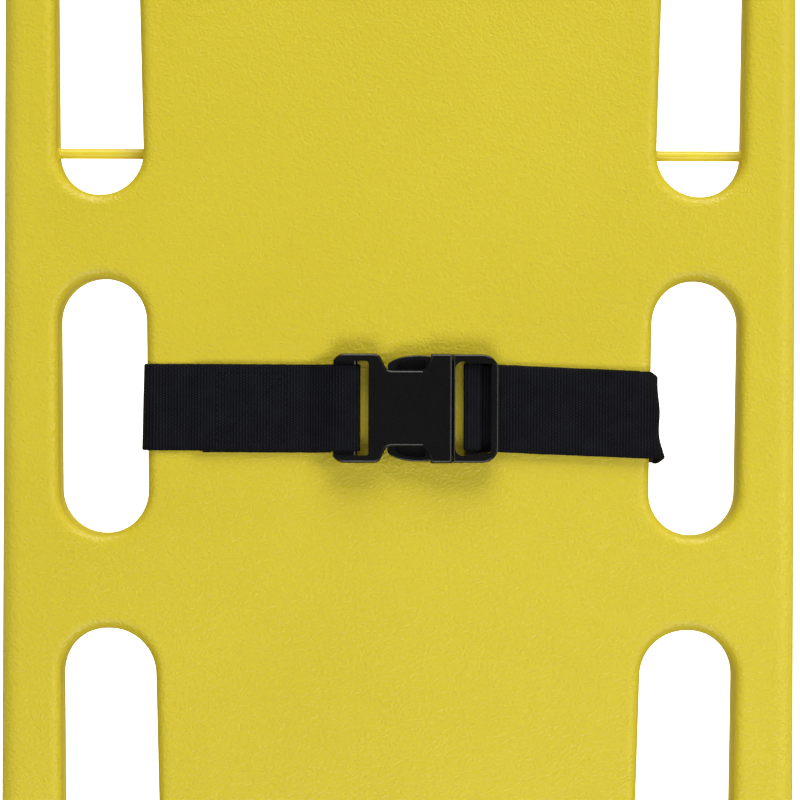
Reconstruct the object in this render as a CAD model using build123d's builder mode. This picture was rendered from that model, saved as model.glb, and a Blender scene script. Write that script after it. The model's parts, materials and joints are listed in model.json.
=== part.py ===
from build123d import *
import os

# Spine board with one torso strap. X is across the board, +Y runs to the head end and +Z is up.
# The origin is under the middle of the board, on the surface that the runners stand on. Millimetres.

# ---- driving dimensions: board ----
board_length = 1840.0
board_width = 458.0
head_width = 390.0           # across the head end, before its corners are rounded
foot_width = 360.0
head_taper_start = 700.0     # Y where the sides begin to close in
foot_taper_start = -640.0
head_corner = 70.0
foot_corner = 60.0
side_blend = 160.0

top_z = 50.0                 # the face that a patient lies on
parting_z = 30.0             # where the two moulded skins are welded together
underside_z = 12.0
wall = 3.2
edge_round = 9.0             # outer edge of the board, top
under_round = 8.0
rim_round = 5.5              # round every opening
cavity_round = 5.0
foam_gap = 0.3               # side clearance of the foam; its faces meet the skins

# ---- side handholds ----
hole_length = 148.0
middle_hole_y = -4.2         # centre of the middle pair
head_pitch = 196.3           # from one pair to the next, towards the head
foot_pitch = 202.4           # and towards the foot
hole_rows = range(-3, 4)
panel_half = 144.3           # inner edge of the handholds at Y = 0
panel_taper = 0.0284         # the panel widens towards the head
middle_panel_half = 145.35   # the middle pair stands a little further out
middle_panel_taper = 0.0155
rail_half = 196.6            # outer edge of the handholds at Y = 0
rail_taper = 0.0126
end_roundness = 0.99         # 1 would make the handholds' ends half circles
taper_reach = 420.0          # beyond this Y the handholds keep the same place

# ---- end openings ----
head_slot_y = 870.0
head_slot = (110.0, 38.0)
corner_slot_inner = (95.0, 868.0)
corner_slot_outer = (163.0, 812.0)
corner_slot_width = 36.0
foot_slot_x = 78.0
foot_slot_y = -866.0
foot_slot = (112.0, 38.0)
strap_slot = (12.0, 52.0)    # slots for a head strap
strap_slot_x = 58.0
strap_slot_rows = (700.0, 790.0)

# ---- runners on the underside ----
runner_x = 92.0
runner_width = 34.0
runner_gap = 70.0            # a strap passes between two runners
runner_end = 775.0
runner_round = 4.0
runner_corner = 9.0

# ---- pins, tubes, plugs ----
pin_rows = (-3, -1, 1, 3)
pin_diameter = 6.0
pin_from_end = 24.5          # from the foot end of the handhold to the pin
pin_seat = 7.5               # how far each end goes into the board
fit = 0.05
tube_x = 217.5
tube_diameter = 14.0
tube_wall = 1.5
tube_length = 1180.0
pin_chamfer = 0.6
plug_socket = 10.0
plug_diameter = 24.0
plug_rows = (-800.0, 740.0)

# ---- strap ----
webbing_width = 50.0
webbing = 1.6                # thickness
strap_y = -4.8
sewn_back = 74.0             # length of webbing turned back and sewn, left of the buckle
soft_gap = 0.3
lay_gap = 0.1                # between layers that lie on each other
lift_start = 11.0            # left of the buckle, where the lower layer starts to rise to the bar
drop_length = 16.0           # run of the upper layer from the bar down to the lower layer
gentle_bend = 8.0            # radius of the webbing's slight bends, to its middle line
step_bend = 5.0
ladder_bend = 1.75
tail_end_z = 22.0

# ---- stitching through the sewn end ----
stitch_inset = 8.0           # from the end of the webbing
stitch_box = 40.0
stitch_cross = 54.4          # length of each diagonal
thread = 1.0
thread_height = 0.35

# ---- buckle: u runs from its left end, v from its middle line, levels from its base ----
buckle_left = -39.0
buckle_z = top_z + 0.6
buckle_height = 12.0
buckle_half = 31.4
housing_length = 69.8
housing_corner = 8.0
housing_round = 1.5
bar_start = 1.2
bar_end = 15.0
bar_low = 3.4
bar_high = 8.2
bar_slope = (3.8, 2.7)       # the bar's left edge is sloped off, along and down
bar_round = 2.3
arm_inner = 27.2             # inside of the side arms
slot_end = 21.5
slot_round = 1.5
window_start = 27.4
window_run = 4.8             # the arms close in over this length to the windows' floor
window_floor = 21.8
window_end = 57.4
window_rise = 5.0            # length of the curve back out to the full width
window_curve = 14.0
shoulder_round = 4.2
mouth_half = 28.2
cavity_low = 2.5
cavity_high = 9.5
cavity_end = 31.0
rib_middle = 46.0            # guide ribs for the tongue
rib_length = 28.0
rib_width = 1.6
rib_height = 1.2

insert_start = 70.1
insert_end = 96.4
insert_corner = 9.5
insert_round = 1.2
rail_inner = 27.3
rail_outer = 31.1
inner_slot_start = 71.3
inner_slot_end = 78.2
inner_slot_round = 5.0       # at its left corners
outer_slot_half = 25.9
outer_slot_round = 0.8
ladder_end = 84.4
ladder_low = 3.4
ladder_high = 8.0
outer_slot_end = 92.0
end_bar_low = 4.4
front_bar = 66.5
front_bar_half = 18.0
tongue_half = 7.0
tongue_tip = 42.0
tongue_slot = (54.0, 18.0, 7.0)   # middle, length and width of the hollow in the tongue

prong_pivot = (67.8, 22.5)
prong_root = 2.0
pivot_gap = 0.2
prong_low = 2.8
prong_high = 9.2
prong_web = 1.6              # floor of the hollow behind the bow
prong_round = 0.8
arm_way = 6.4                # room for a prong's arm beside the front bar
prong_arm = (20.9, 23.8)     # v of the arm's two sides at the pivot
prong_inner = 20.4           # v of the bow's straight inner side
prong_tip = (33.0, 25.9)
prong_tip_round = 3.5
prong_bow = [(36.5, 28.1), (42.0, 29.8), (48.5, 30.5)]
prong_bow_end = (56.9, 30.3)
prong_neck = (56.9, 26.6)
prong_neck_end = 59.9
prong_hollow = [(36.4, 22.4), (54.2, 22.4), (54.2, 28.0), (49.0, 28.2), (44.0, 27.6), (38.4, 26.0)]

os.makedirs("parts", exist_ok=True)


def save(part, label):
    part.label = label
    export_step(part, f"parts/{label}.step")
    print(f"{label:28s} {part.volume / 1000.0:10.2f} cm3")


def hole_y(row):
    return middle_hole_y + row * (head_pitch if row > 0 else foot_pitch)


def row_shift(row):
    """Outside the tapered middle of the board, a handhold keeps the taper of its own place."""
    return max(-taper_reach, min(taper_reach, hole_y(row))) - hole_y(row)


def panel_edge(y, row):
    """Inner edge of a row's handholds, at Y = y."""
    if row == 0:
        return middle_panel_half + middle_panel_taper * y
    return panel_half + panel_taper * (y + row_shift(row))


def rail_edge(y, row):
    """Outer edge of a row's handholds, at Y = y."""
    return rail_half + rail_taper * (y + row_shift(row))


def pin_y(row):
    return hole_y(row) - hole_length / 2.0 + pin_from_end


def outline(inset=0.0):
    """Plan of the board, without its openings."""
    half = board_width / 2.0
    end = board_length / 2.0
    with BuildSketch() as plan:
        with BuildLine():
            Polyline(
                (-half, foot_taper_start),
                (-half, head_taper_start),
                (-head_width / 2.0, end),
                (head_width / 2.0, end),
                (half, head_taper_start),
                (half, foot_taper_start),
                (foot_width / 2.0, -end),
                (-foot_width / 2.0, -end),
                close=True,
            )
        make_face()
        fillet(plan.vertices().group_by(Axis.Y)[-1], head_corner)
        fillet(plan.vertices().group_by(Axis.Y)[0], foot_corner)
        fillet(plan.vertices().filter_by(lambda v: abs(v.X) > half - 1.0), side_blend)
        if inset:
            offset(amount=-inset, mode=Mode.REPLACE)
    return plan.sketch


def openings(grow=0.0):
    """Plan of every handhold and strap slot; grow widens them all round."""
    with BuildSketch() as plan:
        for row in hole_rows:
            low = hole_y(row) - hole_length / 2.0
            high = hole_y(row) + hole_length / 2.0
            for side in (-1, 1):
                corners = [
                    (side * (panel_edge(low, row) - grow), low - grow),
                    (side * (rail_edge(low, row) + grow), low - grow),
                    (side * (rail_edge(high, row) + grow), high + grow),
                    (side * (panel_edge(high, row) - grow), high + grow),
                ]
                with BuildLine():
                    Polyline(*corners, close=True)
                make_face()
                for end in (low, high):
                    width = rail_edge(end, row) - panel_edge(end, row)
                    at_end = plan.vertices().filter_by(
                        lambda v: v.X * side > 0 and abs(v.Y - end) < grow + 0.1
                    )
                    fillet(at_end, end_roundness * width / 2.0 + grow)
        with Locations((0, head_slot_y)):
            SlotOverall(head_slot[0] + 2 * grow, head_slot[1] + 2 * grow)
        with Locations((-foot_slot_x, foot_slot_y), (foot_slot_x, foot_slot_y)):
            SlotOverall(foot_slot[0] + 2 * grow, foot_slot[1] + 2 * grow)
        for side in (-1, 1):
            inner = Vector(side * corner_slot_inner[0], corner_slot_inner[1])
            outer = Vector(side * corner_slot_outer[0], corner_slot_outer[1])
            SlotCenterPoint((inner + outer) / 2.0, outer, corner_slot_width + 2 * grow)
        with Locations(*[(x, y) for x in (-strap_slot_x, strap_slot_x) for y in strap_slot_rows]):
            RectangleRounded(
                strap_slot[0] + 2 * grow, strap_slot[1] + 2 * grow, strap_slot[0] / 2.0 - 0.5 + grow
            )
    return plan.sketch


def runner_spans():
    """Start and end in Y of each runner, between the straps' ways across the underside."""
    gaps = [hole_y(row) for row in hole_rows]
    starts = [-runner_end] + [y + runner_gap / 2.0 for y in gaps]
    ends = [y - runner_gap / 2.0 for y in gaps] + [runner_end]
    return list(zip(starts, ends))


def runner_plan(inset=0.0):
    with BuildSketch() as plan:
        for start, end in runner_spans():
            with Locations(*[(x, (start + end) / 2.0) for x in (-runner_x, runner_x)]):
                RectangleRounded(
                    runner_width - 2 * inset, end - start - 2 * inset, runner_corner - inset
                )
    return plan.sketch


def pin_cut(radius):
    """Rods on the speed-clip pins' axes, to bore their seats."""
    with BuildPart() as rods:
        for row in pin_rows:
            for side in (-1, 1):
                centre, length = pin_place(row, side)
                with Locations(Location(centre, (0, 90, 0))):
                    Cylinder(radius, length)
    return rods.part


def pin_place(row, side):
    y = pin_y(row)
    start = panel_edge(y, row) - pin_seat
    end = rail_edge(y, row) + pin_seat
    return (side * (start + end) / 2.0, y, parting_z), end - start


def cavity(side_gap=0.0):
    """The hollow between the two skins: side_gap draws its side walls in, its flat faces stay."""
    with BuildPart() as hollow:
        with BuildSketch(Plane.XY.offset(underside_z + wall)):
            add(outline(wall + side_gap))
            add(openings(wall + side_gap), mode=Mode.SUBTRACT)
        extrude(amount=top_z - underside_z - 2 * wall)
        ends = hollow.faces().filter_by(Axis.Z).edges()
        fillet(ends, cavity_round)
        with BuildSketch(Plane.XY.offset(wall)):
            add(runner_plan(wall + side_gap))
        extrude(amount=underside_z)
    return hollow.part


def skin(depth, side_round):
    """One moulded skin, from the parting plane to a flat face depth above it, or below if negative."""
    with BuildPart() as shell:
        with BuildSketch(Plane.XY.offset(parting_z)):
            add(outline())
            add(openings(), mode=Mode.SUBTRACT)
        extrude(amount=depth)
        face = shell.faces().filter_by(Axis.Z).sort_by(Axis.Z)[-1 if depth > 0 else 0]
        fillet(face.outer_wire().edges(), side_round)
        face = shell.faces().filter_by(Axis.Z).sort_by(Axis.Z)[-1 if depth > 0 else 0]
        fillet([edge for wire in face.inner_wires() for edge in wire.edges()], rim_round)
        if depth < 0:
            with BuildSketch():
                add(runner_plan())
            extrude(amount=underside_z)
            fillet(foot_edges(shell), runner_round)
        add(cavity(), mode=Mode.SUBTRACT)
        add(pin_cut(pin_diameter / 2.0 + fit), mode=Mode.SUBTRACT)
        if depth < 0:
            with Locations(*[(0, y, underside_z + wall / 2.0) for y in plug_rows]):
                Cylinder(plug_diameter / 2.0 + fit, wall + 1.0, mode=Mode.SUBTRACT)
    return shell.part


def foot_edges(board):
    """Rim of each runner's foot."""
    return board.edges().filter_by(lambda e: e.center().Z < 0.01)


def board_pieces():
    save(skin(top_z - parting_z, edge_round), "upper_shell")
    save(skin(underside_z - parting_z, under_round), "lower_shell")

    with BuildPart() as foam_core:
        add(cavity(foam_gap))
        with Locations(*[Location((x, 0, parting_z), (90, 0, 0)) for x in (-tube_x, tube_x)]):
            Cylinder(tube_diameter / 2.0 + fit, tube_length + 2 * fit, mode=Mode.SUBTRACT)
        add(pin_cut(pin_diameter / 2.0 + fit), mode=Mode.SUBTRACT)
    save(foam_core.part, "foam_core")

    for side, name in ((-1, "left"), (1, "right")):
        with BuildPart() as stiffener_tube:
            with Locations(Location((side * tube_x, 0, parting_z), (90, 0, 0))):
                Cylinder(tube_diameter / 2.0, tube_length)
                Cylinder(tube_diameter / 2.0 - tube_wall, tube_length, mode=Mode.SUBTRACT)
        save(stiffener_tube.part, f"stiffener_tube_{name}")
        for number, row in enumerate(pin_rows, start=1):
            centre, length = pin_place(row, side)
            with BuildPart() as speed_clip_pin:
                with Locations(Location(centre, (0, 90, 0))):
                    Cylinder(pin_diameter / 2.0, length)
                chamfer(speed_clip_pin.edges().filter_by(GeomType.CIRCLE), pin_chamfer)
            save(speed_clip_pin.part, f"speed_clip_pin_{name}_{number}")

    for y, name in zip(plug_rows, ("foot", "head")):
        with BuildPart() as fill_plug:
            with BuildSketch(Plane.XY.offset(underside_z)):
                with Locations((0, y)):
                    Circle(plug_diameter / 2.0)
            extrude(amount=wall)
            with BuildSketch(Plane.XY.offset(underside_z)):
                with Locations((0, y)):
                    Circle(plug_socket / 2.0)
            extrude(amount=wall / 2.0, mode=Mode.SUBTRACT)
        save(fill_plug.part, f"fill_plug_{name}")


def at_buckle(level):
    """Plane in the buckle's own plan, from its left end and middle line, at a height above its base."""
    return Plane((buckle_left, strap_y, buckle_z + level))


def housing_plan():
    """Plan of the housing, narrow at the side windows where the prongs are pressed."""
    with BuildSketch() as plan:
        with BuildLine():
            Line((0, 0), (0, buckle_half - housing_corner))
            RadiusArc((0, buckle_half - housing_corner), (housing_corner, buckle_half), housing_corner)
            Line((housing_corner, buckle_half), (window_start, buckle_half))
            Line((window_start, buckle_half), (window_start + window_run, window_floor))
            Line((window_start + window_run, window_floor), (window_end - window_rise, window_floor))
            RadiusArc((window_end - window_rise, window_floor), (window_end, buckle_half), -window_curve)
            Line((window_end, buckle_half), (housing_length, buckle_half))
            Line((housing_length, buckle_half), (housing_length, 0))
            Line((housing_length, 0), (0, 0))
        make_face()
        shoulder = plan.vertices().filter_by(
            lambda v: window_start - 1.0 < v.X < window_start + window_run + 1.0 and v.Y > 1.0
        )
        fillet(shoulder, shoulder_round)
        mirror(about=Plane.XZ)
    return plan.sketch


def bar_room():
    """All that is cut away between the side arms, left of the webbing's slot, to leave only the bar."""
    with BuildPart() as room:
        with BuildSketch(at_buckle(-1.0)):
            with Locations((slot_end / 2.0 - 1.0, 0)):
                Rectangle(slot_end + 2.0, 2 * arm_inner)
            fillet(vertices().group_by(Axis.X)[-1], slot_round)
        extrude(amount=buckle_height + 2.0)
        side = Plane((buckle_left, strap_y + arm_inner, buckle_z), x_dir=(1, 0, 0), z_dir=(0, -1, 0))
        with BuildSketch(side):
            with BuildLine():
                Polyline(
                    (bar_start, bar_low),
                    (bar_end, bar_low),
                    (bar_end, bar_high),
                    (bar_start + bar_slope[0], bar_high),
                    (bar_start, bar_high - bar_slope[1]),
                    close=True,
                )
            make_face()
            fillet(vertices().group_by(Axis.X)[-1], bar_round)
        extrude(amount=2 * arm_inner, mode=Mode.SUBTRACT)
    return room.part


def buckle_housing_piece():
    with BuildPart() as buckle_housing:
        with BuildSketch(at_buckle(0)):
            add(housing_plan())
        extrude(amount=buckle_height)
        fillet(buckle_housing.edges().group_by(Axis.Z)[-1], housing_round)
        fillet(buckle_housing.edges().group_by(Axis.Z)[0], housing_round)
        add(bar_room(), mode=Mode.SUBTRACT)
        # cavity from the mouth inwards, open at both side windows
        with BuildSketch(at_buckle(cavity_low)):
            with BuildLine():
                Polyline(
                    (cavity_end, 0),
                    (cavity_end, window_floor - 3.0),
                    (window_start + 3.4, buckle_half + 1.0),
                    (window_end, buckle_half + 1.0),
                    (window_end, mouth_half),
                    (housing_length, mouth_half),
                    (housing_length, 0),
                    close=True,
                )
            make_face()
            mirror(about=Plane.XZ)
        extrude(amount=cavity_high - cavity_low, mode=Mode.SUBTRACT)
        # guide ribs either side of the tongue, on the cavity's floor and roof
        rib_v = tongue_half + rib_width
        for low in (cavity_low, cavity_high - rib_height):
            with BuildSketch(at_buckle(low)):
                with Locations((rib_middle, rib_v), (rib_middle, -rib_v)):
                    Rectangle(rib_length, rib_width)
            extrude(amount=rib_height)
    save(buckle_housing.part, "buckle_housing")


def insert_plan():
    """Plan of the frame outside the housing's mouth."""
    with BuildSketch() as plan:
        with Locations(((insert_start + insert_end) / 2.0, 0)):
            Rectangle(insert_end - insert_start, 2 * rail_outer)
        fillet(plan.vertices().group_by(Axis.X)[-1], insert_corner)
    return plan.sketch


def insert_slots():
    """Plan of the two slots either side of the ladder bar."""
    with BuildSketch() as plan:
        with Locations(((inner_slot_start + inner_slot_end) / 2.0, 0)):
            Rectangle(inner_slot_end - inner_slot_start, 2 * rail_inner)
        fillet(plan.vertices().group_by(Axis.X)[0], inner_slot_round)
        with Locations(((ladder_end + outer_slot_end) / 2.0, 0)):
            RectangleRounded(outer_slot_end - ladder_end, 2 * outer_slot_half, outer_slot_round)
    return plan.sketch


def tongue_plan():
    """Plan of the front bar and the guide tongue, with room for the prongs' roots and arms."""
    with BuildSketch() as plan:
        with BuildLine():
            Polyline(
                (inner_slot_start, 0),
                (inner_slot_start, rail_inner),
                (front_bar, rail_inner),
                (front_bar, front_bar_half),
                (front_bar - 1.4, tongue_half + 6.0),
                (front_bar - 4.0, tongue_half),
                (tongue_tip + 3.0, tongue_half),
                (tongue_tip, tongue_half - 3.0),
                (tongue_tip, 0),
                close=True,
            )
        make_face()
        mirror(about=Plane.XZ)
        for side in (-1, 1):
            with Locations((prong_pivot[0], side * prong_pivot[1])):
                Circle(prong_root + pivot_gap, mode=Mode.SUBTRACT)
            with Locations((prong_pivot[0] - 3.0, side * prong_pivot[1])):
                Rectangle(6.0, arm_way, mode=Mode.SUBTRACT)
    return plan.sketch


def buckle_insert_piece():
    with BuildPart() as buckle_insert:
        with BuildSketch(at_buckle(0)):
            add(insert_plan())
        extrude(amount=buckle_height)
        fillet(buckle_insert.edges().group_by(Axis.Z)[-1], insert_round)
        fillet(buckle_insert.edges().group_by(Axis.Z)[0], insert_round)
        with BuildSketch(at_buckle(0)):
            add(insert_slots())
        extrude(amount=buckle_height, mode=Mode.SUBTRACT)
        # the ladder bar is lower than the rails
        for low, high in ((0, ladder_low), (ladder_high, buckle_height)):
            with BuildSketch(at_buckle(low)):
                with Locations(((inner_slot_end + ladder_end) / 2.0, 0)):
                    Rectangle(ladder_end - inner_slot_end, 2 * outer_slot_half)
            extrude(amount=high - low, mode=Mode.SUBTRACT)
        # both layers of webbing pass under the end bar
        with BuildSketch(at_buckle(0)):
            with Locations(((outer_slot_end + insert_end) / 2.0, 0)):
                Rectangle(insert_end - outer_slot_end + 1.0, 2 * outer_slot_half)
        extrude(amount=end_bar_low, mode=Mode.SUBTRACT)
        with BuildSketch(at_buckle(prong_low)):
            add(tongue_plan())
        extrude(amount=prong_high - prong_low)
        hollow_middle, hollow_length, hollow_width = tongue_slot
        with BuildSketch(at_buckle(prong_low + prong_web)):
            with Locations((hollow_middle, 0)):
                SlotOverall(hollow_length, hollow_width)
        extrude(amount=prong_high - prong_low, mode=Mode.SUBTRACT)
    save(buckle_insert.part, "buckle_insert")


def prong_plan():
    """Plan of a prong: a root round the pivot, an arm, and the bow that fills the housing's side window."""
    with BuildSketch() as plan:
        with Locations(prong_pivot):
            Circle(prong_root)
        with BuildLine():
            Line((prong_pivot[0], prong_arm[0]), (prong_bow_end[0], prong_inner))
            Line((prong_bow_end[0], prong_inner), (prong_tip[0] + 3.0, prong_inner))
            RadiusArc((prong_tip[0] + 3.0, prong_inner), prong_tip, prong_tip_round)
            Spline(prong_tip, *prong_bow, prong_bow_end, tangents=[(1.0, 0.85), (1.0, -0.05)])
            Line(prong_bow_end, prong_neck)
            RadiusArc(prong_neck, (prong_neck_end, prong_arm[1]), -prong_tip_round)
            Line((prong_neck_end, prong_arm[1]), (prong_pivot[0], prong_arm[1]))
            Line((prong_pivot[0], prong_arm[1]), (prong_pivot[0], prong_arm[0]))
        make_face()
    return plan.sketch


def prong_pieces():
    for side, name in ((1, "upper"), (-1, "lower")):
        with BuildPart() as prong:
            with BuildSketch(at_buckle(prong_low)):
                add(prong_plan())
            extrude(amount=prong_high - prong_low)
            fillet(prong.edges().filter_by(GeomType.BSPLINE), prong_round)
            with BuildSketch(at_buckle(prong_low + prong_web)):
                with BuildLine():
                    Polyline(*prong_hollow, close=True)
                make_face()
                fillet(vertices(), prong_round)
            extrude(amount=prong_high - prong_low, mode=Mode.SUBTRACT)
            if side < 0:
                mirror(about=Plane.XZ.offset(-strap_y), mode=Mode.REPLACE)
        save(prong.part, f"{name}_prong")


def band(points, radii, name):
    """Webbing along a route in the XZ plane, given by its middle line."""
    selvedge = Plane((0, strap_y + webbing_width / 2.0, 0), x_dir=(1, 0, 0), z_dir=(0, -1, 0))
    with BuildPart() as strip:
        with BuildSketch(selvedge):
            with BuildLine():
                FilletPolyline(*points, radius=radii)
                offset(amount=webbing / 2.0, side=Side.BOTH)
            make_face()
        extrude(amount=webbing_width)
    save(strip.part, name)


def strap_pieces():
    half = webbing / 2.0
    side_x = middle_panel_half + middle_panel_taper * (strap_y + webbing_width / 2.0) + half + lay_gap
    rim = rim_round + half + lay_gap
    upturn_end = side_x - rim - 1.0      # the strap ends here, once it has come up over the right rim

    # round the panel from the sewn end; the sewn end also goes round the housing's bar and back
    on_board = top_z + half
    second = on_board + webbing + lay_gap
    below = underside_z - half - lay_gap
    bar_x = buckle_left + bar_end + half + lay_gap
    under_bar = buckle_z + bar_low - half - lay_gap
    over_bar = buckle_z + bar_high + half + lay_gap
    bar_bend = bar_round + half + lay_gap
    drop_start = buckle_left + 3.0
    sewn_end_x = buckle_left - sewn_back
    board_run = [
        (sewn_end_x, on_board),
        (buckle_left - lift_start, on_board),
        (buckle_left + 0.5, under_bar),
        (bar_x, under_bar),
        (bar_x, over_bar),
        (drop_start, over_bar),
        (drop_start - drop_length, second),
        (sewn_end_x - 2.0, second),
        (sewn_end_x - 8.0, on_board),
        (-side_x, on_board),
        (-side_x, below),
        (side_x, below),
        (side_x, on_board),
        (upturn_end, on_board),
    ]
    bends = [gentle_bend, 6.0, bar_bend, bar_bend, gentle_bend, 12.0, step_bend, step_bend]
    band(board_run, bends + [rim] * 4, "strap_webbing")

    # back from the right rim and over the insert's ladder bar
    ladder_x = buckle_left + inner_slot_end - half - soft_gap
    ladder_out = buckle_left + ladder_end + half + soft_gap
    ladder_top = buckle_z + ladder_high + half + soft_gap
    low_run = on_board + soft_gap
    high_run = low_run + webbing + soft_gap
    pull_run = [
        (upturn_end - webbing - soft_gap, low_run),
        (ladder_x, low_run),
        (ladder_x, ladder_top),
        (ladder_out, ladder_top),
        (ladder_out, high_run + webbing + lay_gap),
    ]
    band(pull_run, [ladder_bend] * 3, "strap_pull_run")

    # out of the ladder's outer slot, over the pulled run and down past the right rim
    tail_x = side_x + webbing + 2 * soft_gap
    tail = [
        (ladder_out - half, high_run),
        (tail_x, high_run),
        (tail_x, tail_end_z),
    ]
    band(tail, [rim + webbing + 2 * soft_gap], "strap_tail")


def stitching_piece():
    """Box and cross of thread through the sewn end."""
    middle_x = buckle_left - sewn_back + stitch_inset + stitch_box / 2.0
    with BuildPart() as stitching:
        with BuildSketch(Plane.XY.offset(top_z + 2 * webbing + lay_gap)):
            with Locations((middle_x, strap_y)):
                Rectangle(stitch_box, stitch_box)
                Rectangle(stitch_box - 2 * thread, stitch_box - 2 * thread, mode=Mode.SUBTRACT)
                Rectangle(thread, stitch_cross, rotation=45)
                Rectangle(thread, stitch_cross, rotation=-45)
        extrude(amount=thread_height)
    save(stitching.part, "sewn_end_stitching")


board_pieces()
buckle_housing_piece()
buckle_insert_piece()
prong_pieces()
strap_pieces()
stitching_piece()
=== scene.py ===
import json
import math

import bmesh
import bpy
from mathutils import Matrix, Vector, noise


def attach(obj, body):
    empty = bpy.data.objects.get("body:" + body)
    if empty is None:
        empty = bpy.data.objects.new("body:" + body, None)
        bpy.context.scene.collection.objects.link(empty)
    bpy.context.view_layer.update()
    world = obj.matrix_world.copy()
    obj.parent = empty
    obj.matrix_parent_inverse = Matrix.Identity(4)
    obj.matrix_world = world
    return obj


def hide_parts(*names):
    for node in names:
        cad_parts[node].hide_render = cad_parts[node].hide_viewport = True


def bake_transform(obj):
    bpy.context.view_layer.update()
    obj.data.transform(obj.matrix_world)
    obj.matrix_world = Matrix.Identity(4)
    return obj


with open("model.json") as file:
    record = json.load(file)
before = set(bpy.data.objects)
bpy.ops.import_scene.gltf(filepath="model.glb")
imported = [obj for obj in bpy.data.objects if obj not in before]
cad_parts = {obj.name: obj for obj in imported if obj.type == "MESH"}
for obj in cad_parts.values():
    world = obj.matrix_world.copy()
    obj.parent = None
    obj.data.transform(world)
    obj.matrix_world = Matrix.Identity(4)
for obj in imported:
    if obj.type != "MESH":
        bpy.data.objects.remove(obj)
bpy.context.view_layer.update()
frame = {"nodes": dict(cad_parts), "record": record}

MM = 0.001

# ---------------------------------------------------------------- sizes, in millimetres as on the drawing

board_length = 1840.0
board_width = 458.0
head_width = 390.0
foot_width = 360.0
head_taper_start = 700.0
foot_taper_start = -640.0
head_corner = 70.0
foot_corner = 60.0
side_blend = 160.0
top_z = 50.0
parting_z = 30.0
underside_z = 12.0
edge_round = 9.0
under_round = 8.0
rim_round = 5.5

hole_length = 148.0
middle_hole_y = -4.2
head_pitch = 196.3
foot_pitch = 202.4
hole_rows = range(-3, 4)
panel_half = 144.3
panel_taper = 0.0284
middle_panel_half = 145.35
middle_panel_taper = 0.0155
rail_half = 196.6
rail_taper = 0.0126
end_roundness = 0.99
taper_reach = 420.0

head_slot_y = 870.0
head_slot = (110.0, 38.0)
corner_slot_inner = (95.0, 868.0)
corner_slot_outer = (163.0, 812.0)
corner_slot_width = 36.0
foot_slot_x = 78.0
foot_slot_y = -866.0
foot_slot = (112.0, 38.0)
strap_slot = (12.0, 52.0)
strap_slot_x = 58.0
strap_slot_rows = (700.0, 790.0)

runner_x = 92.0
runner_width = 34.0
runner_gap = 70.0
runner_end = 775.0
runner_round = 4.0
runner_corner = 9.0
wall = 3.2
plug_diameter = 24.0
plug_rows = (-800.0, 740.0)
pin_rows = (-3, -1, 1, 3)
pin_diameter = 6.0
pin_from_end = 24.5
pin_seat = 7.5

ARC_STEPS = 14               # segments in a rounded rim's quarter
SOFTNESS = 2.3               # exponent of the rims' rounding; 2 would be an arc
SOFT_REACH = 1.26            # the rounding's size against the arc's radius
CORNER_STEPS = 16            # segments in a corner of a plan, per quarter turn


# ---------------------------------------------------------------- meshes

def new_mesh(name, verts, faces, material, smooth=True):
    mesh = bpy.data.meshes.new(name)
    mesh.from_pydata([(x * MM, y * MM, z * MM) for x, y, z in verts], [], faces)
    mesh.validate()
    mesh.update()
    if smooth:
        mesh.polygons.foreach_set("use_smooth", [True] * len(mesh.polygons))
    piece = bpy.data.objects.new(name, mesh)
    bpy.context.scene.collection.objects.link(piece)
    piece.data.materials.append(material)
    return piece


def face_outwards(piece):
    bm = bmesh.new()
    bm.from_mesh(piece.data)
    bmesh.ops.recalc_face_normals(bm, faces=bm.faces)
    bm.to_mesh(piece.data)
    bm.free()


def tube_faces(rings, around):
    """Faces of a closed tube whose points come ring by ring."""
    faces = []
    for i in range(rings - 1):
        for k in range(around):
            a, b = i * around + k, i * around + (k + 1) % around
            faces.append((a, b, b + around, a + around))
    faces.append(tuple(range(around))[::-1])
    faces.append(tuple(range((rings - 1) * around, rings * around)))
    return faces


class Loop:
    """A closed plan line of straight sides and round corners, which can be offset without losing points."""

    def __init__(self, corners, radius, hole):
        self.hole = hole
        area = sum(a[0] * b[1] - b[0] * a[1] for a, b in zip(corners, corners[1:] + corners[:1]))
        points = [Vector(c) for c in (corners if area > 0 else corners[::-1])]
        radii = [radius] * len(points) if isinstance(radius, float) else list(radius)
        if area < 0:
            radii.reverse()
        self.arcs = []
        for i, corner in enumerate(points):
            before = (points[i - 1] - corner).normalized()
            after = (points[(i + 1) % len(points)] - corner).normalized()
            half = before.angle(after) / 2.0
            bisector = (before + after).normalized()
            centre = corner + bisector * (radii[i] / math.sin(half))
            turn = math.pi - 2.0 * half
            start = math.atan2(*(-bisector).yx) - turn / 2.0
            steps = max(2, round(CORNER_STEPS * turn / (math.pi / 2.0)))
            self.arcs.append((centre, radii[i], start, turn, steps))

    def points(self, inset):
        """Points of the line, moved into the material by inset: inwards on an outline, outwards on a hole."""
        shift = inset if self.hole else -inset
        out = []
        for centre, radius, start, turn, steps in self.arcs:
            for k in range(steps + 1):
                angle = start + turn * k / steps
                reach = radius + shift
                out.append((centre.x + reach * math.cos(angle), centre.y + reach * math.sin(angle)))
        return out


def rectangle(left, right, low, high):
    return [(left, low), (right, low), (right, high), (left, high)]


def slot_loop(centre, length, width, angle=0.0):
    half_l, half_w = length / 2.0, width / 2.0
    c, s = math.cos(angle), math.sin(angle)
    plan = rectangle(-half_l, half_l, -half_w, half_w)
    corners = [(centre[0] + x * c - y * s, centre[1] + x * s + y * c) for x, y in plan]
    return Loop(corners, half_w - 0.02, True)


def hole_y(row):
    return middle_hole_y + row * (head_pitch if row > 0 else foot_pitch)


def row_shift(row):
    return max(-taper_reach, min(taper_reach, hole_y(row))) - hole_y(row)


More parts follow.
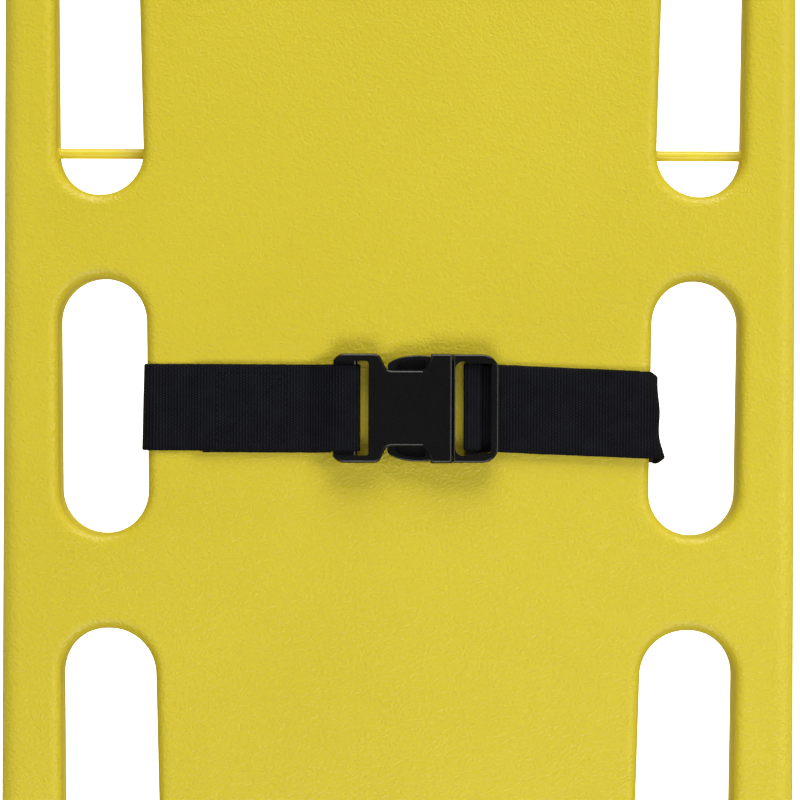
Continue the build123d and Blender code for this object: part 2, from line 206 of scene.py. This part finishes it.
def panel_edge(y, row):
    if row == 0:
        return middle_panel_half + middle_panel_taper * y
    return panel_half + panel_taper * (y + row_shift(row))


def rail_edge(y, row):
    return rail_half + rail_taper * (y + row_shift(row))


def board_outline():
    half, end = board_width / 2.0, board_length / 2.0
    corners = [
        (-foot_width / 2.0, -end), (foot_width / 2.0, -end), (half, foot_taper_start),
        (half, head_taper_start), (head_width / 2.0, end), (-head_width / 2.0, end),
        (-half, head_taper_start), (-half, foot_taper_start),
    ]
    radii = [foot_corner] * 2 + [side_blend] * 2 + [head_corner] * 2 + [side_blend] * 2
    return Loop(corners, radii, False)


def board_openings():
    loops = []
    for row in hole_rows:
        low, high = hole_y(row) - hole_length / 2.0, hole_y(row) + hole_length / 2.0
        low_round = end_roundness * (rail_edge(low, row) - panel_edge(low, row)) / 2.0
        high_round = end_roundness * (rail_edge(high, row) - panel_edge(high, row)) / 2.0
        for side in (-1, 1):
            corners = [
                (side * panel_edge(low, row), low), (side * rail_edge(low, row), low),
                (side * rail_edge(high, row), high), (side * panel_edge(high, row), high),
            ]
            loops.append(Loop(corners, [low_round, low_round, high_round, high_round], True))
    loops.append(slot_loop((0.0, head_slot_y), *head_slot))
    for side in (-1, 1):
        loops.append(slot_loop((side * foot_slot_x, foot_slot_y), *foot_slot))
        inner = Vector((side * corner_slot_inner[0], corner_slot_inner[1]))
        outer = Vector((side * corner_slot_outer[0], corner_slot_outer[1]))
        run = outer - inner
        length = run.length + corner_slot_width
        loops.append(slot_loop((inner + outer) / 2.0, length, corner_slot_width, math.atan2(run.y, run.x)))
        for y in strap_slot_rows:
            half_w, half_l = strap_slot[0] / 2.0, strap_slot[1] / 2.0
            x = side * strap_slot_x
            loops.append(Loop(rectangle(x - half_w, x + half_w, y - half_l, y + half_l), half_w - 0.5, True))
    return loops


def rounded_wall(wall_z, face_z, radius):
    """Profile of a side wall from the seam to a flat face: pairs of inset and height.
    The rounding is a superellipse, which runs into the wall and the face more softly than an arc does."""
    up = 1.0 if face_z > wall_z else -1.0
    reach = SOFT_REACH * radius
    profile = [(-0.25, wall_z), (-0.25, wall_z + 0.35 * up), (0.0, wall_z + 0.9 * up)]
    for k in range(ARC_STEPS + 1):
        angle = math.pi / 2.0 * k / ARC_STEPS
        along, down = (1.0 - abs(f(angle)) ** (2.0 / SOFTNESS) for f in (math.cos, math.sin))
        profile.append((reach * along, face_z - up * reach * down))
    profile.append((reach + 0.6, face_z))
    return profile


def add_wall(bm, loop, profile):
    """Strips of faces along a loop; returns the last ring's vertices."""
    rings = []
    for inset, z in profile:
        rings.append([bm.verts.new((x * MM, y * MM, z * MM)) for x, y in loop.points(inset)])
    for low, high in zip(rings, rings[1:]):
        n = len(low)
        for i in range(n):
            bm.faces.new((low[i], low[(i + 1) % n], high[(i + 1) % n], high[i]))
    return rings[-1]


def ring_edges(bm, ring):
    edges = []
    for a, b in zip(ring, ring[1:] + ring[:1]):
        edges.append(bm.edges.get((a, b)) or bm.edges.new((a, b)))
    return edges


def finish_mesh(bm, name, material):
    bmesh.ops.recalc_face_normals(bm, faces=bm.faces)
    mesh = bpy.data.meshes.new(name)
    bm.to_mesh(mesh)
    bm.free()
    mesh.polygons.foreach_set("use_smooth", [True] * len(mesh.polygons))
    piece = bpy.data.objects.new(name, mesh)
    bpy.context.scene.collection.objects.link(piece)
    piece.data.materials.append(material)
    return piece


def upper_skin(material):
    bm = bmesh.new()
    edges = ring_edges(bm, add_wall(bm, board_outline(), rounded_wall(parting_z, top_z, edge_round)))
    for loop in board_openings():
        edges += ring_edges(bm, add_wall(bm, loop, rounded_wall(parting_z, top_z, rim_round)))
    bmesh.ops.triangle_fill(bm, use_beauty=True, use_dissolve=False, edges=edges)
    return finish_mesh(bm, "upper_skin", material)


def lower_skin(material):
    bm = bmesh.new()
    edges = ring_edges(bm, add_wall(bm, board_outline(), rounded_wall(parting_z, underside_z, under_round)))
    for loop in board_openings():
        edges += ring_edges(bm, add_wall(bm, loop, rounded_wall(parting_z, underside_z, rim_round)))
    for y in plug_rows:
        plug = slot_loop((0.0, y), plug_diameter + 0.14, plug_diameter + 0.1)
        socket = [(0.0, underside_z + wall), (0.0, underside_z + 0.3), (0.3, underside_z)]
        edges += ring_edges(bm, add_wall(bm, plug, socket))
    feet = []
    gaps = [hole_y(row) for row in hole_rows]
    starts = [-runner_end] + [y + runner_gap / 2.0 for y in gaps]
    ends = [y - runner_gap / 2.0 for y in gaps] + [runner_end]
    for start, end in zip(starts, ends):
        for x in (-runner_x, runner_x):
            plan = rectangle(x - runner_width / 2.0, x + runner_width / 2.0, start, end)
            loop = Loop(plan, runner_corner, False)
            profile = [(-1.5, underside_z), (-0.5, underside_z - 0.4), (0.0, underside_z - 1.5)]
            for k in range(ARC_STEPS + 1):
                angle = math.pi / 2.0 * k / ARC_STEPS
                along, down = 1.0 - math.cos(angle), 1.0 - math.sin(angle)
                profile.append((runner_round * along, runner_round * down))
            before = len(bm.verts)
            foot = add_wall(bm, loop, profile)
            bm.verts.ensure_lookup_table()
            base = bm.verts[before:before + len(foot)]
            edges += ring_edges(bm, list(base))
            feet.append(foot)
    bmesh.ops.triangle_fill(bm, use_beauty=True, use_dissolve=False, edges=edges)
    for foot in feet:
        bm.faces.new(foot)
    return finish_mesh(bm, "lower_skin", material)


# ---------------------------------------------------------------- materials

def material_nodes(name):
    material = bpy.data.materials.new(name)
    material.use_nodes = True
    tree = material.node_tree
    shader = tree.nodes["Principled BSDF"]
    return material, tree, shader


def add(tree, kind, **settings):
    node = tree.nodes.new(kind)
    for key, value in settings.items():
        if hasattr(node, key):
            setattr(node, key, value)
        else:
            node.inputs[key.replace("_", " ")].default_value = value
    return node


def ramp(tree, low, high):
    """Colour ramp between two pairs of position and colour."""
    node = add(tree, "ShaderNodeValToRGB")
    for element, (position, colour) in zip(node.color_ramp.elements, (low, high)):
        element.position = position
        element.color = (*colour, 1.0)
    return node


def board_material():
    material, tree, shader = material_nodes("moulded_polyethylene")
    link = tree.links.new
    place = add(tree, "ShaderNodeTexCoord").outputs["Object"]

    drift = add(tree, "ShaderNodeTexNoise", Scale=6.0, Detail=3.0, Roughness=0.55)
    link(place, drift.inputs["Vector"])
    tone = ramp(tree, (0.3, (0.640, 0.512, 0.020)), (0.7, (0.672, 0.545, 0.024)))
    link(drift.outputs["Fac"], tone.inputs["Fac"])
    link(tone.outputs["Color"], shader.inputs["Base Color"])

    # leather grain: soft pebbles with wandering creases between them
    warp = add(tree, "ShaderNodeTexNoise", Scale=120.0, Detail=2.0, Roughness=0.5)
    link(place, warp.inputs["Vector"])
    shift = add(tree, "ShaderNodeVectorMath", operation="MULTIPLY_ADD")
    shift.inputs[1].default_value = (0.006, 0.006, 0.006)
    link(warp.outputs["Color"], shift.inputs[0])
    link(place, shift.inputs[2])
    pebbles = add(tree, "ShaderNodeTexVoronoi", Scale=560.0, feature="SMOOTH_F1", Smoothness=0.5)
    link(shift.outputs["Vector"], pebbles.inputs["Vector"])
    creases = add(tree, "ShaderNodeTexNoise", Scale=460.0, Detail=3.0, Roughness=0.6, Distortion=0.8)
    link(place, creases.inputs["Vector"])
    mix = add(tree, "ShaderNodeMath", operation="MULTIPLY_ADD")
    mix.inputs[1].default_value = 0.7
    link(pebbles.outputs["Distance"], mix.inputs[0])
    link(creases.outputs["Fac"], mix.inputs[2])
    bump = add(tree, "ShaderNodeBump", Strength=0.7, Distance=0.0006)
    link(mix.outputs["Value"], bump.inputs["Height"])
    link(bump.outputs["Normal"], shader.inputs["Normal"])

    gloss = add(tree, "ShaderNodeMapRange", From_Min=0.3, From_Max=0.7, To_Min=0.30, To_Max=0.40)
    link(creases.outputs["Fac"], gloss.inputs["Value"])
    link(gloss.outputs["Result"], shader.inputs["Roughness"])
    shader.inputs["Specular IOR Level"].default_value = 0.44
    return material


def plain_plastic(name, dark, light, rough, grain, depth, **fixed):
    """Plain material with slight colour drift and a fine tooth. Fixed values go straight to the shader."""
    material, tree, shader = material_nodes(name)
    link = tree.links.new
    place = add(tree, "ShaderNodeTexCoord").outputs["Object"]
    drift = add(tree, "ShaderNodeTexNoise", Scale=60.0, Detail=3.0, Roughness=0.6)
    link(place, drift.inputs["Vector"])
    tone = ramp(tree, (0.3, dark), (0.7, light))
    link(drift.outputs["Fac"], tone.inputs["Fac"])
    link(tone.outputs["Color"], shader.inputs["Base Color"])
    tooth = add(tree, "ShaderNodeTexNoise", Scale=grain, Detail=4.0, Roughness=0.65)
    link(place, tooth.inputs["Vector"])
    bump = add(tree, "ShaderNodeBump", Strength=0.3, Distance=depth)
    link(tooth.outputs["Fac"], bump.inputs["Height"])
    link(bump.outputs["Normal"], shader.inputs["Normal"])
    low, high = rough - 0.05, rough + 0.06
    gloss = add(tree, "ShaderNodeMapRange", From_Min=0.3, From_Max=0.7, To_Min=low, To_Max=high)
    link(tooth.outputs["Fac"], gloss.inputs["Value"])
    link(gloss.outputs["Result"], shader.inputs["Roughness"])
    for socket, value in fixed.items():
        shader.inputs[socket.replace("_", " ")].default_value = value
    return material


board_skin = board_material()
buckle_plastic = plain_plastic(
    "acetal_black", (0.0022, 0.0022, 0.0022), (0.0036, 0.0036, 0.0036), 0.25, 2500.0, 0.00004,
    Specular_IOR_Level=0.45,
)
# the pins are of the board's own yellow plastic, painted lighter than the board: painted light on the pins,
# which the plugs share
pin_plastic = plain_plastic("pin_yellow_painted_lighter", (0.70, 0.57, 0.022), (0.73, 0.60, 0.028), 0.36, 900.0, 0.00003)
webbing_black = plain_plastic(
    "webbing_plain", (0.008, 0.008, 0.010), (0.012, 0.012, 0.014), 0.8, 900.0, 0.0001,
)
thread_black = plain_plastic(
    "thread_black", (0.0016, 0.0016, 0.0022), (0.0040, 0.0040, 0.0055), 0.7, 4000.0, 0.00005,
    Specular_IOR_Level=0.06,
)
foam = plain_plastic("foam_pale", (0.72, 0.66, 0.42), (0.80, 0.74, 0.52), 0.9, 700.0, 0.0003)
tube_metal = plain_plastic(
    "tube_aluminium", (0.60, 0.61, 0.63), (0.68, 0.69, 0.71), 0.35, 300.0, 0.00005,
    Metallic=1.0,
)


def dress(node, material):
    piece = frame["nodes"][node]
    piece.data.materials.clear()
    piece.data.materials.append(material)


finishes = {
    "board_skin": board_skin,
    "core_foam": foam,
    "tube_metal": tube_metal,
    "pin_plastic": pin_plastic,
    "plug_plastic": pin_plastic,
    "buckle_plastic": buckle_plastic,
    "webbing": webbing_black,
    "thread": webbing_black,
}
for entry in frame["record"]["subparts"]:
    dress(entry["node"], finishes[entry["material_slot"]])

for skin, node in ((upper_skin(board_skin), "upper_shell"), (lower_skin(board_skin), "lower_shell")):
    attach(skin, "board")
    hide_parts(node)


# ---------------------------------------------------------------- strap

webbing_width = 50.0
webbing = 1.6
strap_y = -4.8
sewn_back = 74.0
soft_gap = 0.3
lay_gap = 0.1
tail_end_z = 22.0
buckle_left = -39.0
buckle_z = top_z + 0.6
bar_end = 15.0
bar_round = 2.3
bar_low = 3.4
bar_high = 8.2
inner_slot_end = 78.2
ladder_end = 84.4
ladder_high = 8.0
ladder_bend = 1.75
insert_end = 96.4

rib_pitch = 1.72
rib_height = 0.10
yarn_pitch = 1.5
SPACING = rib_pitch / 4.0    # between the points of a route
ACROSS_STEPS = 24            # segments across the webbing
rib_fade = 0.8               # width over which the ribs run out beside a selvedge


def route(points, radii):
    """Points at an even spacing along straight runs joined by arcs, in X and Z."""
    path = [Vector(points[0])]
    for before, corner, after, radius in zip(points, points[1:], points[2:], radii):
        before, corner, after = Vector(before), Vector(corner), Vector(after)
        a, b = (before - corner).normalized(), (after - corner).normalized()
        half = a.angle(b) / 2.0
        reach = radius / math.tan(half)
        centre = corner + (a + b).normalized() * radius / math.sin(half)
        start, end = corner + a * reach - centre, corner + b * reach - centre
        turn = start.angle_signed(end)
        steps = max(3, int(abs(turn) * radius / 0.3))
        for k in range(steps + 1):
            angle = -turn * k / steps
            c, s = math.cos(angle), math.sin(angle)
            path.append(centre + Vector((start.x * c - start.y * s, start.x * s + start.y * c)))
    path.append(Vector(points[-1]))
    even, travelled, target = [], 0.0, 0.0
    for a, b in zip(path, path[1:]):
        length = (b - a).length
        while length > 0.0 and target <= travelled + length:
            even.append(a.lerp(b, (target - travelled) / length))
            target += SPACING
        travelled += length
    return even


def section():
    """Points round the webbing's section: place across it and height."""
    half_w, half_t = webbing_width / 2.0, webbing / 2.0
    top = []
    for k in range(ACROSS_STEPS + 1):
        across = -half_w + half_t + (webbing_width - webbing) * k / ACROSS_STEPS
        top.append((across, half_t))
    turns = (math.pi / 4, math.pi / 2, 3 * math.pi / 4)
    edge = [(half_w - half_t + half_t * math.sin(a), half_t * math.cos(a)) for a in turns]
    return top + edge + [(x, -z) for x, z in top[::-1]] + [(-x, -z) for x, z in edge]


def webbing_strip(name, path, middle, bulge, material):
    """A length of webbing. By place, middle gives its middle line's Y, and bulge a shift in X, Z and Y."""
    ring = section()
    half_w = webbing_width / 2.0
    verts, marks = [], []
    for i, point in enumerate(path):
        ahead, behind = path[min(i + 1, len(path) - 1)], path[max(i - 1, 0)]
        tangent = (ahead - behind).normalized()
        normal = Vector((-tangent.y, tangent.x))
        along = i * SPACING
        sway = 0.22 * noise.noise(Vector((along / 23.0, 3.1, 0.0)))
        sway += 0.08 * noise.noise(Vector((along / 4.0, 9.4, 0.0)))
        for across, height in ring:
            inner = min(1.0, max(0.0, (half_w - abs(across)) / rib_fade))
            rib = rib_height * math.cos(2.0 * math.pi * along / rib_pitch) * inner
            lift = height + math.copysign(rib, height) if abs(height) > 0.5 else height
            wave = 0.10 * noise.noise(Vector((along / 16.0, across / 14.0, 1.7))) * inner
            shift = bulge(point, across / half_w)
            verts.append((
                point.x + normal.x * (lift + wave) + shift[0],
                middle(point) + across + sway + shift[2],
                point.y + normal.y * (lift + wave) + shift[1],
            ))
            marks.append((along * MM, across * MM))
    piece = new_mesh(name, verts, tube_faces(len(path), len(ring)), material)
    layer = piece.data.uv_layers.new(name="weave")
    for corner in piece.data.loops:
        layer.data[corner.index].uv = marks[corner.vertex_index]
    face_outwards(piece)
    return piece


def smooth(t):
    t = max(0.0, min(1.0, t))
    return t * t * (3.0 - 2.0 * t)


half_webbing = webbing / 2.0
on_board = top_z + half_webbing      # middle of the webbing where it lies on the board
side_x = middle_panel_half + middle_panel_taper * (strap_y + webbing_width / 2.0) + half_webbing + lay_gap
rim_bend = rim_round + half_webbing + lay_gap
rim_sink = 3.0                       # how far the webbing runs to the foot on its way down the right rim
low_run = on_board + soft_gap        # heights of the two runs right of the buckle
high_run = low_run + webbing + soft_gap
ladder_out = buckle_left + ladder_end + half_webbing + soft_gap


def slanted(x):
    """Middle line of the webbing right of the buckle, which is pulled a little towards the foot."""
    slant, start_x = 0.040, buckle_left + insert_end - 12.0
    return strap_y + 0.9 - slant * max(0.0, x - start_x)


def fixed_webbing(material):
    """Sewn to itself round the bar of the housing, then down the left rim, under the panel and up again."""
    second = on_board + webbing + lay_gap
    below = underside_z - half_webbing - lay_gap
    bar_x = buckle_left + bar_end + half_webbing + lay_gap
    under_bar = buckle_z + bar_low - half_webbing - lay_gap
    over_bar = buckle_z + bar_high + half_webbing + lay_gap
    sewn_end_x = buckle_left - sewn_back
    bar_bend = bar_round + half_webbing + lay_gap
    stops = [
        ((sewn_end_x, on_board), None),
        ((buckle_left - 11.0, on_board), 8.0),
        ((buckle_left + 0.5, under_bar), 6.0),
        ((bar_x, under_bar), bar_bend),
        ((bar_x, over_bar), bar_bend),
        ((buckle_left + 3.0, over_bar), 8.0),
        ((buckle_left - 13.0, second), 12.0),
        ((sewn_end_x - 2.0, second), 5.0),
        ((sewn_end_x - 8.0, on_board), 5.0),
        ((-side_x, on_board), rim_bend),
        ((-side_x, below), rim_bend),
        ((side_x, below), rim_bend),
        ((side_x, on_board), rim_bend),
        ((side_x - rim_bend - 1.0, on_board), None),
    ]
    path = route([place for place, bend in stops], [bend for place, bend in stops[1:-1]])

    def middle(point):
        if point.x > side_x - rim_bend - 2.0:
            return slanted(side_x) - rim_sink * smooth((top_z - point.y) / 16.0)
        if point.y < 20.0:
            rightward = smooth((point.x + side_x) / (2.0 * side_x - 20.0))
            return strap_y + (slanted(side_x) - rim_sink - strap_y) * rightward
        # under the sewn end the lower layer shows a little beside the upper one
        between = (second + on_board) / 2.0 + 4.0 * max(0.0, min(1.0, (point.x + 50.0) / 12.0))
        under_layer = sewn_end_x - 1.0 < point.x < buckle_left and point.y < between
        return strap_y + 0.1 - (0.9 if under_layer else 0.0)

    def bulge(point, across):
        """At the left rim it stands off a little, more so at its foot-end edge."""
        reach = max(0.0, min(1.0, (-point.x - (side_x - 9.0)) / 9.0))
        return (-0.5 * reach * (1.0 - across), 0.0, 0.0)

    return webbing_strip("webbing_round_panel", path, middle, bulge, material), path


def pulled_webbing(material):
    """From the right rim to the buckle and over its ladder."""
    ladder_x = buckle_left + inner_slot_end - half_webbing - soft_gap
    ladder_top = buckle_z + ladder_high + half_webbing + soft_gap
    stops = [
        (side_x - rim_bend - 1.0 - soft_gap, low_run),
        (ladder_x, low_run),
        (ladder_x, ladder_top),
        (ladder_out, ladder_top),
        (ladder_out, high_run + half_webbing + lay_gap),
    ]
    path = route(stops, [ladder_bend] * 3)

    def middle(point):
        return slanted(point.x)

    def bulge(point, across):
        return (0.0, 0.0, 0.0)

    return webbing_strip("webbing_pull_run", path, middle, bulge, material), path


def free_webbing(material):
    """The tail: back over the pulled run and down the right rim."""
    tail_x = side_x + webbing + 2 * soft_gap
    stops = [(ladder_out - half_webbing, high_run), (tail_x, high_run), (tail_x, tail_end_z)]
    path = route(stops, [rim_bend + webbing + 2 * soft_gap])

    def middle(point):
        return slanted(point.x) - 0.5

    def bulge(point, across):
        """Past the rim it hangs slack and bulges away from the wall, more so at its foot-end edge."""
        drop = high_run - point.y
        hump = smooth(drop / 7.0) - smooth((drop - 7.0) / 14.0)
        slack = 0.9 + 3.2 * max(0.0, -across) ** 2 - max(0.0, across) ** 2
        slack += 0.45 * math.sin(5.5 * across + 0.9)
        foot = (1.0 - across) / 2.0
        foot_sink = 0.4 * hump - rim_sink * smooth((drop - 6.0) / 12.0)
        head_sink = -2.2 * smooth(drop / 8.0)
        return (slack * hump, 0.0, foot * foot_sink + (1.0 - foot) * head_sink)

    return webbing_strip("webbing_tail", path, middle, bulge, material), path


def strap(material):
    fixed, around = fixed_webbing(material)
    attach(fixed, "board")
    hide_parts("strap_webbing")
    pull, back = pulled_webbing(material)
    free, hanging = free_webbing(material)
    # the run beside the buckle and the tail at the rim are baked where they lie and go with no body
    for piece, node in ((pull, "strap_pull_run"), (free, "strap_tail")):
        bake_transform(piece)
        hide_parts(node)


def webbing_material():
    material, tree, shader = material_nodes("ribbed_webbing")
    link = tree.links.new

    def calc(operation, a, b=None, c=None):
        node = tree.nodes.new("ShaderNodeMath")
        node.operation = operation
        for socket, value in zip(node.inputs, (a, b, c)):
            if isinstance(value, (int, float)):
                socket.default_value = value
            elif value is not None:
                link(value, socket)
        return node.outputs[0]

    uv = add(tree, "ShaderNodeUVMap", uv_map="weave").outputs["UV"]
    parts = add(tree, "ShaderNodeSeparateXYZ")
    link(uv, parts.inputs[0])
    row = calc("DIVIDE", parts.outputs["X"], rib_pitch * MM)
    ridge = calc("COSINE", calc("MULTIPLY", row, 2.0 * math.pi))
    parity = calc("MULTIPLY", calc("ROUND", row), 0.5)
    yarns = calc("ADD", calc("DIVIDE", parts.outputs["Y"], yarn_pitch * MM), parity)
    yarn = calc("SINE", calc("MULTIPLY", yarns, 2.0 * math.pi))
    weave = calc("ADD", calc("MULTIPLY", ridge, 0.5), calc("MULTIPLY", yarn, 0.42))
    place = add(tree, "ShaderNodeTexCoord").outputs["Object"]
    fuzz = add(tree, "ShaderNodeTexNoise", Scale=1500.0, Detail=3.0, Roughness=0.7)
    link(place, fuzz.inputs["Vector"])
    height = calc("ADD", weave, calc("MULTIPLY", fuzz.outputs["Fac"], 0.9))
    bump = add(tree, "ShaderNodeBump", Strength=0.8, Distance=0.00022)
    link(height, bump.inputs["Height"])
    link(bump.outputs["Normal"], shader.inputs["Normal"])
    wear = add(tree, "ShaderNodeTexNoise", Scale=90.0, Detail=4.0, Roughness=0.6)
    link(place, wear.inputs["Vector"])
    # the colour is darker in the weave's grooves and between its yarns than on the ridges: painted shade in
    # the grooves, laid over a random worn tone
    tone = ramp(tree, (0.15, (0.0008, 0.0008, 0.0013)), (0.95, (0.0125, 0.0132, 0.0185)))
    worn = calc("ADD", calc("MULTIPLY", wear.outputs["Fac"], 0.6), 0.12)
    link(calc("ADD", calc("MULTIPLY", weave, 0.5), worn), tone.inputs["Fac"])
    link(tone.outputs["Color"], shader.inputs["Base Color"])
    shader.inputs["Roughness"].default_value = 0.72
    shader.inputs["Specular IOR Level"].default_value = 0.08
    shader.inputs["Sheen Weight"].default_value = 0.015
    shader.inputs["Sheen Roughness"].default_value = 0.5
    return material


stitch_inset = 8.0
stitch_box = 40.0
stitch_length = 2.7
stitch_gap = 0.55
stitch_width = 0.55
stitch_height = 0.26


def stitch(centre, direction, level):
    """One stitch: a short thread, thick in the middle, whose ends go down into the webbing."""
    rings, around = 7, 8
    across = Vector((-direction.y, direction.x))
    verts = []
    for i in range(rings):
        t = -1.0 + 2.0 * i / (rings - 1)
        fat = math.sqrt(max(0.04, 1.0 - t * t * 0.9))
        sink = stitch_height * 0.9 * t * t
        spot = centre + direction * (t * stitch_length / 2.0)
        for k in range(around):
            angle = 2.0 * math.pi * k / around
            side = spot + across * (math.cos(angle) * fat * stitch_width / 2.0)
            verts.append((side.x, side.y, level - sink + math.sin(angle) * fat * stitch_height / 2.0))
    return verts, tube_faces(rings, around)


def stitching(material):
    """Box and cross of stitches through the two layers of the sewn end."""
    middle = Vector((buckle_left - sewn_back + stitch_inset + stitch_box / 2.0, strap_y + 0.1))
    half = stitch_box / 2.0
    box = [middle + Vector(c) for c in ((-half, -half), (half, -half), (half, half), (-half, half))]
    runs = list(zip(box, box[1:] + box[:1])) + [(box[0], box[2]), (box[1], box[3])]
    level = top_z + 2 * webbing + lay_gap + 0.06
    verts, faces = [], []
    for start, end in runs:
        run = end - start
        direction = run.normalized()
        count = int(run.length / (stitch_length + stitch_gap))
        for i in range(count):
            centre = start + run * ((i + 0.5) / count)
            lean = 0.04 * noise.noise(Vector((centre.x / 3.0, centre.y / 3.0, 5.0)))
            turned = Vector((direction.x - direction.y * lean, direction.y + direction.x * lean))
            more, flats = stitch(centre, turned, level)
            faces += [tuple(v + len(verts) for v in f) for f in flats]
            verts += more
    piece = new_mesh("sewn_stitches", verts, faces, material)
    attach(piece, "board")
    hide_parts("sewn_end_stitching")


def speed_clip_pins(material):
    """Pins moulded across the handholds; each spreads where it meets the wall."""
    around = 24
    for side, name in ((-1, "left"), (1, "right")):
        for number, row in enumerate(pin_rows, start=1):
            y = hole_y(row) - hole_length / 2.0 + pin_from_end
            inner, outer = panel_edge(y, row), rail_edge(y, row)
            verts = []
            stations = [inner - pin_seat] + [inner - 0.6 + 0.35 * k for k in range(14)]
            stations += [outer + 0.6 - 0.35 * k for k in range(14)][::-1] + [outer + pin_seat]
            for x in stations:
                away = max(0.0, min(x - inner, outer - x))
                reach = pin_diameter / 2.0 * 0.985
                spread = 1.5 * math.exp(-away / 0.9) if inner - 1.0 < x < outer + 1.0 else 0.0
                for k in range(around):
                    angle = 2.0 * math.pi * k / around
                    up = max(0.0, math.sin(angle))
                    r = reach + spread * (0.45 + 0.55 * up)
                    verts.append((side * x, y + r * math.cos(angle), parting_z + r * math.sin(angle)))
            pin = new_mesh(f"pin_{name}_{number}", verts, tube_faces(len(stations), around), material)
            face_outwards(pin)
            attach(pin, "board")
            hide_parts(f"speed_clip_pin_{name}_{number}")


strap(webbing_material())
stitching(thread_black)
speed_clip_pins(pin_plastic)


# ---------------------------------------------------------------- floor, light and camera

def stage():
    """A pale floor that the board rests on."""
    seen_glow, glow_on_walls = 1.6, 0.85
    material, tree, shader = material_nodes("pale_floor")
    shader.inputs["Base Color"].default_value = (0.78, 0.78, 0.78, 1.0)
    shader.inputs["Roughness"].default_value = 0.9
    # burnt out where it is seen straight, and a weaker glow that lights the walls of the handholds
    shader.inputs["Emission Color"].default_value = (1.0, 1.0, 1.0, 1.0)
    seen = add(tree, "ShaderNodeLightPath")
    glow = add(tree, "ShaderNodeMath", operation="MULTIPLY_ADD")
    glow.inputs[1].default_value = seen_glow - glow_on_walls
    glow.inputs[2].default_value = glow_on_walls
    material.cycles.emission_sampling = "NONE"
    tree.links.new(seen.outputs["Is Camera Ray"], glow.inputs[0])
    tree.links.new(glow.outputs["Value"], shader.inputs["Emission Strength"])
    # clear from below and to the lamp below it, so that the underside can be looked at
    facing = add(tree, "ShaderNodeNewGeometry")
    through = add(tree, "ShaderNodeMath", operation="MAXIMUM")
    clear = add(tree, "ShaderNodeBsdfTransparent")
    either = add(tree, "ShaderNodeMixShader")
    tree.links.new(facing.outputs["Backfacing"], through.inputs[0])
    tree.links.new(seen.outputs["Is Shadow Ray"], through.inputs[1])
    tree.links.new(through.outputs["Value"], either.inputs["Fac"])
    tree.links.new(shader.outputs["BSDF"], either.inputs[1])
    tree.links.new(clear.outputs["BSDF"], either.inputs[2])
    tree.links.new(either.outputs["Shader"], tree.nodes["Material Output"].inputs["Surface"])
    half, z = 6000.0, -0.5
    corners = [(x, y, z) for x, y in rectangle(-half, half, -half, half)]
    floor = new_mesh("floor", corners, [(0, 1, 2, 3)], material, False)
    floor.visible_glossy = False


def soft_light(name, place, target, size, watts):
    data = bpy.data.lights.new(name, "AREA")
    data.shape = "RECTANGLE"
    data.size, data.size_y = size
    data.energy = watts
    lamp = bpy.data.objects.new(name, data)
    bpy.context.scene.collection.objects.link(lamp)
    lamp.location = place
    lamp.rotation_euler = (Vector(target) - Vector(place)).to_track_quat("-Z", "Y").to_euler()
    return lamp


def camera():
    reach = 2.1              # from the board's top face
    seen = 0.4615            # width of the top face in view
    data = bpy.data.cameras.new("camera")
    data.sensor_width = 36.0
    data.lens = 36.0 * reach / seen
    data.clip_end = 30.0
    eye = bpy.data.objects.new("camera", data)
    bpy.context.scene.collection.objects.link(eye)
    eye.location = (0.0006, 0.0, top_z * MM + reach)
    eye.rotation_euler = (0.0, 0.0, math.radians(0.24))
    bpy.context.scene.camera = eye


stage()
soft_light("key", (0.6, 4.2, 2.3), (0.0, 0.0, 0.05), (3.6, 2.6), 203.0)
soft_light("right_fill", (2.6, 0.0, 2.6), (0.0, 0.0, 0.05), (1.6, 2.0), 36.0)
soft_light("left_fill", (-2.6, 0.0, 3.0), (0.0, 0.0, 0.05), (1.6, 2.0), 20.0)
soft_light("foot_fill", (0.3, -2.0, 2.6), (0.0, -0.1, 0.05), (2.0, 1.4), 53.0)
under_fill = soft_light("under_fill", (0.5, 0.4, -2.6), (0.0, 0.0, 0.0), (2.4, 2.4), 8.0)
under_fill.visible_glossy = False
world = bpy.data.worlds.new("studio")
world.use_nodes = True
world.node_tree.nodes["Background"].inputs["Color"].default_value = (1.0, 1.0, 1.0, 1.0)
world.node_tree.nodes["Background"].inputs["Strength"].default_value = 0.07
bpy.context.scene.world = world
bpy.context.scene.view_settings.view_transform = "Standard"
camera()
